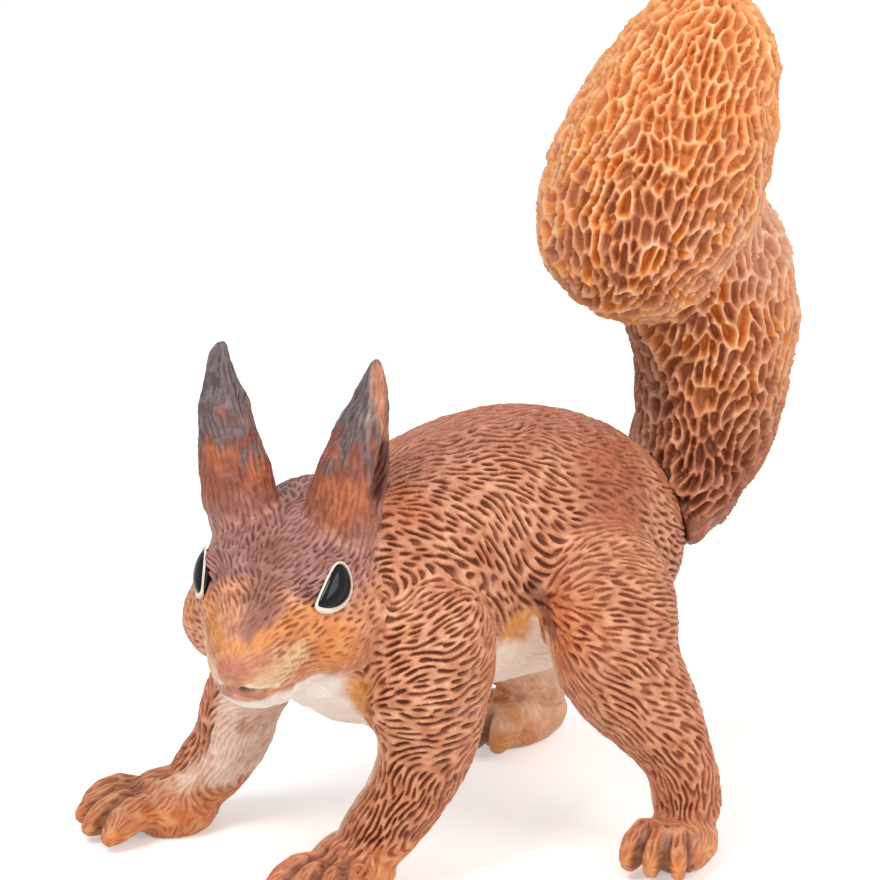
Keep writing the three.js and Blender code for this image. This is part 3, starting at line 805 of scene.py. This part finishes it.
def painted(name, zones, brush_size, roughness, grain, shine=0.5):
    """A layered paint. Each zone has a mask and its colours in the pits, on the slopes and on the ridges."""
    material, tree = new_material(name)
    place_node = add_node(tree, "ShaderNodeTexCoord")
    ridge = add_node(tree, "ShaderNodeAttribute", attribute_name="ridge").outputs["Fac"]
    brush = add_node(tree, "ShaderNodeTexNoise", {
        "Vector": place_node.outputs["Object"],
        "Scale": 1 / (brush_size * MM),
        "Detail": 3.0,
    })
    slope = add_node(tree, "ShaderNodeMapRange", {"Value": ridge, FROM_LOW: 0.15, FROM_HIGH: 0.6})
    crest = add_node(tree, "ShaderNodeMapRange", {"Value": ridge, FROM_LOW: 0.6, FROM_HIGH: 1.0})
    dry = add_node(tree, "ShaderNodeMapRange", {
        "Value": brush.outputs["Fac"],
        FROM_LOW: 0.3,
        FROM_HIGH: 0.65,
    })
    caught = add_node(tree, "ShaderNodeMath", {0: crest.outputs[0], 1: dry.outputs[0]}, operation="MULTIPLY")
    colour = None
    for mask, pit_hex, slope_hex, crest_hex in zones:
        washed = add_node(tree, "ShaderNodeMix", {
            FACTOR: slope.outputs[0],
            COLOUR_A: paint(pit_hex),
            COLOUR_B: paint(slope_hex),
        }, data_type="RGBA")
        zone = add_node(tree, "ShaderNodeMix", {
            FACTOR: caught.outputs[0],
            COLOUR_A: washed.outputs[MIXED],
            COLOUR_B: paint(crest_hex),
        }, data_type="RGBA")
        if colour:
            share = add_node(tree, "ShaderNodeAttribute", attribute_name=mask)
            zone = add_node(tree, "ShaderNodeMix", {
                FACTOR: share.outputs["Fac"],
                COLOUR_A: colour,
                COLOUR_B: zone.outputs[MIXED],
            }, data_type="RGBA")
        colour = zone.outputs[MIXED]
    sheen = add_node(tree, "ShaderNodeMapRange", {
        "Value": brush.outputs["Fac"],
        FROM_LOW: 0.3,
        FROM_HIGH: 0.7,
        TO_LOW: 0.8 * roughness,
        TO_HIGH: 1.25 * roughness,
    })
    speckle = add_node(tree, "ShaderNodeTexNoise", {
        "Vector": place_node.outputs["Object"],
        "Scale": 1 / (grain_size * MM),
        "Detail": 2.0,
    })
    bump = add_node(tree, "ShaderNodeBump", {
        "Height": speckle.outputs["Fac"],
        "Strength": grain,
        "Distance": grain_height * MM,
    })
    shader = add_node(tree, "ShaderNodeBsdfPrincipled", {
        "Base Color": colour,
        "Roughness": sheen.outputs[0],
        "Specular IOR Level": shine,
        "Normal": bump.outputs[0],
    })
    add_node(tree, "ShaderNodeOutputMaterial", {"Surface": shader.outputs[0]})
    print(name, "has", len(zones), "zones")
    return material


# %% Paint of the coat
# A satin red-brown, whose dark slits and pale ridges make the hair read from a distance
coat = painted("painted_pvc_coat", [
    ("coat", "#622810", "#b86e4a", "#eab08c"),
    ("tan", "#642e12", "#be7c4c", "#eebc8e"),
    ("rust", "#561f0c", "#aa5c36", "#dc9a70"),
    ("spine", "#562414", "#a66148", "#d4937a"),
    ("haunch", "#5e240f", "#9e502f", "#c27852"),
    ("glow", "#6a2508", "#c4622f", "#e2935c"),
    ("crown", "#4e2620", "#905c50", "#bc8884"),
    ("bridge", "#552a20", "#804838", "#9a6452"),
    ("face_orange", "#9a5020", "#cc7638", "#e09a56"),
    ("muzzle_side", "#c29468", "#dcae82", "#e8c498"),
    ("chest", "#94481a", "#d28642", "#e4a662"),
    ("belly", "#d2a88a", "#f8e2d0", "#fdeee2"),
    ("inner_leg", "#bc9076", "#e8c6b0", "#f6dfce"),
    ("toes", "#6c2a0c", "#c46a32", "#e29c60"),
    ("white", "#dcc8b8", "#eedfd3", "#f6ece4"),
    ("nose_pad", "#a8583c", "#be7254", "#ca8466"),
    ("lower_lip", "#94503f", "#b56e5a", "#c4806c"),
    ("ear", "#4a1e14", "#7c3e28", "#9e5840"),
    ("ear_orange", "#7a3414", "#b65a2a", "#d07c48"),
    ("ear_tip", "#261e1f", "#483d3f", "#7c6e70"),
    ("ear_strip", "#8a4a30", "#bc7452", "#d89a78"),
    ("ear_rim", "#94745f", "#b09078", "#c4aa96"),
    ("wash", "#3c160b", "#582818", "#744230"),
    ("mouth", "#241210", "#2c1613", "#331a16"),
], brush_size=1.1, roughness=0.45, grain=0.5)

# %% [markdown]
# The skin is cut into its mouldings again, each face going to the moulding that it lies nearest to. The open
# edge of each piece gets a short wall that goes straight in, and a cone from there to a place deep inside the
# same piece closes it, so that every piece is a solid.


# %% Closing and thinning a cut piece
piece_middles = {node: limb_path[1] for node, limb_path in limb_paths.items()}
piece_middles["torso"] = (0.0, 4.0, 25.0)
piece_middles["head"] = out_of_head((0.0, -3.0, 0.0))
wall = 0.3 * MM


def rim_moved(piece, place):
    """Extrudes the selected open edge and moves the new points to where the given function puts them."""
    bpy.ops.mesh.extrude_edges_move()
    bpy.ops.object.mode_set(mode="OBJECT")
    rim = np.empty(len(piece.data.vertices), bool)
    piece.data.vertices.foreach_get("select", rim)
    places = points_of(piece.data)
    places[rim] = place(places[rim], rim)
    move_points(piece.data, places)
    bpy.ops.object.mode_set(mode="EDIT")


def close_openings(piece, middle):
    select_only(piece)
    bpy.ops.object.mode_set(mode="EDIT")
    bpy.ops.mesh.select_mode(type="EDGE")
    bpy.ops.mesh.select_all(action="DESELECT")
    bpy.ops.mesh.select_non_manifold(
        use_wire=False, use_multi_face=False, use_non_contiguous=False, use_verts=False)
    rim_moved(piece, lambda places, rim: places - wall * stored(piece.data, "skin_normal")[rim])
    rim_moved(piece, lambda places, rim: row_m(middle) + 0 * places)
    bpy.ops.mesh.merge(type="COLLAPSE")
    bpy.ops.object.mode_set(mode="OBJECT")


most_faces = 195000


def thin_out(piece):
    """Merges faces where a piece is flattest, if it has too many triangles."""
    triangles = sum(len(p.vertices) - 2 for p in piece.data.polygons)
    if triangles > most_faces:
        apply_modifier(piece, "DECIMATE", ratio=most_faces / triangles)
    print(piece.name, triangles, "triangles before and", len(piece.data.polygons), "faces after thinning")


# %% Cutting the skin into its mouldings
distances = np.stack([stored(body.data, "to_" + node) for node in body_nodes], axis=1)
corners = np.empty(len(body.data.polygons) * 4, np.int32)
body.data.polygons.foreach_get("vertices", corners)
face_label = distances[corners.reshape(-1, 4)].mean(axis=1).argmin(axis=1)
for node in body_nodes:
    body.data.materials.append(bpy.data.materials.new("cut_" + node))
    body.data.attributes.remove(body.data.attributes["to_" + node])
body.data.polygons.foreach_set("material_index", face_label.astype(np.int32))
select_only(body)
bpy.ops.object.mode_set(mode="EDIT")
bpy.ops.mesh.separate(type="MATERIAL")
bpy.ops.object.mode_set(mode="OBJECT")
for piece in list(bpy.context.selected_objects):
    index = np.empty(len(piece.data.polygons), np.int32)
    piece.data.polygons.foreach_get("material_index", index)
    node = piece.data.materials[int(index[0])].name.removeprefix("cut_")
    piece.name = "painted_" + node
    piece.data.materials.clear()
    piece.data.materials.append(coat)
    close_openings(piece, piece_middles[node])
    thin_out(piece)
    select_only(piece)
    bpy.ops.object.shade_smooth()
    piece.data.normals_split_custom_set_from_vertices(unit(stored(piece.data, "skin_normal")))
    piece.data.attributes.remove(piece.data.attributes["skin_normal"])
    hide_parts(node)
    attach(piece, "root")

# %% [markdown]
# The tail is one moulding with longer, wider cells than the coat: thin ridges stand like a net round deep
# hollows, and near the top they open into broad folds. The cells come from a coarse pattern of slits: every
# point rolls downhill to the bottom of its slit. Each cell gets a random tone, and where a blurred copy of
# the tones differs most from the sharp one, at the border of two cells, a thin ridge stands.

# %% Skin and flow of the tail
tail_grow = 0.1
tail = skin_over("painted_tail", ["tail"], 0.27, tail_grow)
move_points(tail.data, spread(points_of(tail.data), edges_of(tail.data), 40))
apply_modifier(tail, "SUBSURF", levels=1, render_levels=1)
points = sculpt_mm(points_of(tail.data))
normals = normals_of(tail.data)
edges = edges_of(tail.data)
count = len(points)
stem_path = [(0, 20.5, 23.0), (0, 26.6, 28.4), (0, 29.5, 40.0), (0, 28.6, 50.0)]
plume_path = [(0, 17.5, 43.9), (0, 22.8, 55.2), (0, 30.0, 71.4)]
stem_gap, stem_flow = nearest_on_path(points, stem_path)
plume_gap, plume_flow = nearest_on_path(points, plume_path)
flow = np.where((plume_gap < stem_gap + 1.0)[:, None], plume_flow, stem_flow)
flow = lay_flat(flow, normals)
for _ in range(3):
    flow = lay_flat(spread(flow, edges, 12), normals)
sway = 0.9 * cloud(points, 3.0, 13)[:, None]
flow = np.cos(sway) * flow + np.sin(sway) * np.cross(normals, flow)
print("tail:", count, "points")


# %% Cells of the tail
def bottoms(links, values):
    """For each point, the number of the lowest point that it reaches by rolling downhill along the links."""
    pairs = np.concatenate([links, links[:, ::-1]])
    pairs = pairs[values[pairs[:, 1]] < values[pairs[:, 0]]]
    pairs = pairs[np.argsort(-values[pairs[:, 1]], kind="stable")]
    lower = np.arange(len(values))
    lower[pairs[:, 0]] = pairs[:, 1]
    while (lower[lower] != lower).any():
        lower = lower[lower]
    return lower


top = smooth_step(55, 68, points[:, 2])
patch = cloud(points, 5.0, 4)
pace = np.clip(0.75 + 0.25 * patch, 0.4, 0.95)
drawn = np.ones(count)
slits = grow_ridges(tail.data, points, flow, pace, drawn, bias=0.3, stride=0.3, far_draws=12, seed=3)
links = links_of(tail.data)
bottom = bottoms(links, slits)
tone = np.random.default_rng(5).uniform(size=(count, 3))[bottom]
full_contrast = 0.28
contrast = np.linalg.norm(spread(tone, edges, 6) - tone, axis=1)
ridges = np.clip(contrast / full_contrast, 0, 1) * (0.4 + 0.6 * smooth_step(-0.5, 0.6, slits))
ridges = spread(ridges, edges, 1)
luck = tone[:, 0]
print("cells of the tail:", len(np.unique(bottom)))

# %% Relief of the tail
folds = cloud(points * (1, 1, 0.45), 1.7, 6)
lumps = 0.4 * cloud(points, 4.5, 6) + (0.3 + 0.3 * top) * folds
cell_depth = (0.5 + 0.35 * luck - 0.15 * top) * smooth_step(1.0, -0.4, slits)
net_rise, net_depth = 0.35, 0.45
height = net_rise - tail_grow - net_depth * (1 - ridges) - cell_depth * (1 - ridges) + lumps
root_share = smooth_step(27, 24, points[:, 2])
height = np.where(root_share > 0.5, np.maximum(height, 0.1), height)
move_points(tail.data, row_m(points + normals * height[:, None]))
rise = points[:, 2] + 3.0 * patch
store(tail.data, "ridge", ridges * (0.7 + 0.3 * smooth_step(-0.3, 0.6, slits)) + 0.34 * (1 - ridges))
store(tail.data, "middle", smooth_step(27, 42, rise))
store(tail.data, "top", smooth_step(50, 68, rise))
pale_gap = np.linalg.norm(points - (4.0, 30.0, 49.0), axis=1)
store(tail.data, "pale", smooth_step(8.0, 3.0, pale_gap + 2 * patch))
facing_body = -normals[:, 1] - 0.7 * normals[:, 0]
shade = 0.7 * smooth_step(0.6, 1.1, facing_body + 0.3 * patch) * smooth_step(50, 42, points[:, 2])
store(tail.data, "shade", shade)
store(tail.data, "bright", smooth_step(0.55, 0.75, luck) * smooth_step(30, 45, points[:, 2]))
print("tail relief from", round(float(height.min()), 2), "to", round(float(height.max()), 2), "mm")

# %% Paint of the tail
# A satin orange, whose brown hollows under pale ridges make the tail look bushy
tail_paint = painted("painted_pvc_tail", [
    ("root", "#561f0d", "#9e5836", "#d69474"),
    ("middle", "#8a3c18", "#d08658", "#f6c4a2"),
    ("top", "#b4541c", "#e69450", "#fbcd9e"),
    ("bright", "#c06022", "#e8984e", "#fac898"),
    ("pale", "#ae6844", "#e4a884", "#fad4b8"),
    ("shade", "#4c2418", "#8e5642", "#bc8672"),
], brush_size=1.6, roughness=0.45, grain=0.5)
tail.data.materials.append(tail_paint)
thin_out(tail)
select_only(tail)
bpy.ops.object.shade_smooth()
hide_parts("tail")
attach(tail, "root")
print("tail:", len(tail.data.polygons), "faces")

# %% [markdown]
# The eyes are glossy black almonds with a cream lid round them, thicker below. An almond starts as a ball
# that is flattened and drawn to a point at its front end. The lid is a ring of round section along its edge.

# %% Paint of the eyes
# Thick gloss black, whose clear reflections make the eye look wet
eye_colours = [("eye", "#0a0b0d", "#101114", "#16181c")]
eye_paint = painted("gloss_black_paint", eye_colours, brush_size=0.8, roughness=0.12, grain=0.03, shine=0.2)
# Thin matt cream, laid on with a fine brush, which sets the black off from the dark brow
lid_colours = [("lid", "#d8c4ae", "#e8d9c8", "#f2e7da")]
lid_paint = painted("matt_cream_paint", lid_colours, brush_size=0.5, roughness=0.5, grain=0.4)

# %% Eyes
eye_middle = np.array((5.60, -5.40, 2.03))
eye_out = unit(np.array((0.88, -0.40, 0.25)))
eye_long = np.array((0.35, 0.80, 0.48))
eye_long = unit(eye_long - (eye_long @ eye_out) * eye_out)
eye_across = np.cross(eye_out, eye_long)
eye_half = (2.2, 1.35, 0.85)
eye_pinch, eye_sag = 0.32, 0.42


def eye_place(along, across, out):
    """Places in the head's frame, from shares of the eye's half sizes along it, across it and out."""
    pinch = 1 + eye_pinch * along
    sag = eye_sag * (1 - along ** 2)
    local = eye_middle + np.multiply.outer(along * eye_half[0], eye_long)
    local += np.multiply.outer((across * pinch - sag) * eye_half[1], eye_across)
    return local + np.multiply.outer(out * eye_half[2], eye_out)


for side_name, side in (("left", 1), ("right", -1)):
    bpy.ops.mesh.primitive_uv_sphere_add(segments=48, ring_count=24, radius=1)
    eye = bpy.context.object
    eye.name = side_name + "_eye"
    ball = points_of(eye.data)
    local = eye_place(ball[:, 0], ball[:, 1], ball[:, 2]) * (side, 1, 1)
    move_points(eye.data, row_m(out_of_head(local)))
    store(eye.data, "ridge", 0.5 + 0.5 * cloud(local, 0.8, 51))
    bpy.ops.object.mode_set(mode="EDIT")
    bpy.ops.mesh.select_all(action="SELECT")
    bpy.ops.mesh.normals_make_consistent(inside=False)
    bpy.ops.object.mode_set(mode="OBJECT")
    bpy.ops.object.shade_smooth()
    eye.data.materials.append(eye_paint)
    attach(eye, "root")
    print(eye.name, "at", (out_of_head(eye_middle * (side, 1, 1))).round(2))

# %% Lids
lid_radius = 0.3
lid_share, lid_out = 1.05, 0.2
thick_at = 1.25 * math.pi
turns = np.linspace(0, 2 * math.pi, 48, endpoint=False)
for side_name, side in (("left", 1), ("right", -1)):
    ring = bpy.data.curves.new(side_name + "_lid", "CURVE")
    ring.dimensions = "3D"
    ring.bevel_depth = lid_radius * MM
    ring.bevel_resolution = 4
    spline = ring.splines.new("POLY")
    spline.points.add(len(turns) - 1)
    spline.use_cyclic_u = True
    out = np.full(len(turns), lid_out)
    edge = eye_place(lid_share * np.cos(turns), lid_share * np.sin(turns), out) * (side, 1, 1)
    for point, place_m, turn in zip(spline.points, row_m(out_of_head(edge)), turns):
        point.co = (*place_m, 1)
        point.radius = 0.35 + 0.7 * max(0.0, math.cos(turn - thick_at)) ** 2
    lid = bpy.data.objects.new(side_name + "_lid", ring)
    bpy.context.collection.objects.link(lid)
    select_only(lid)
    bpy.ops.object.convert(target="MESH")
    bpy.ops.object.shade_smooth()
    store(lid.data, "ridge", 0.6 + 0.5 * cloud(sculpt_mm(points_of(lid.data)), 0.6, 52))
    lid.data.materials.append(lid_paint)
    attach(lid, "root")
    print(lid.name, len(lid.data.polygons), "faces")
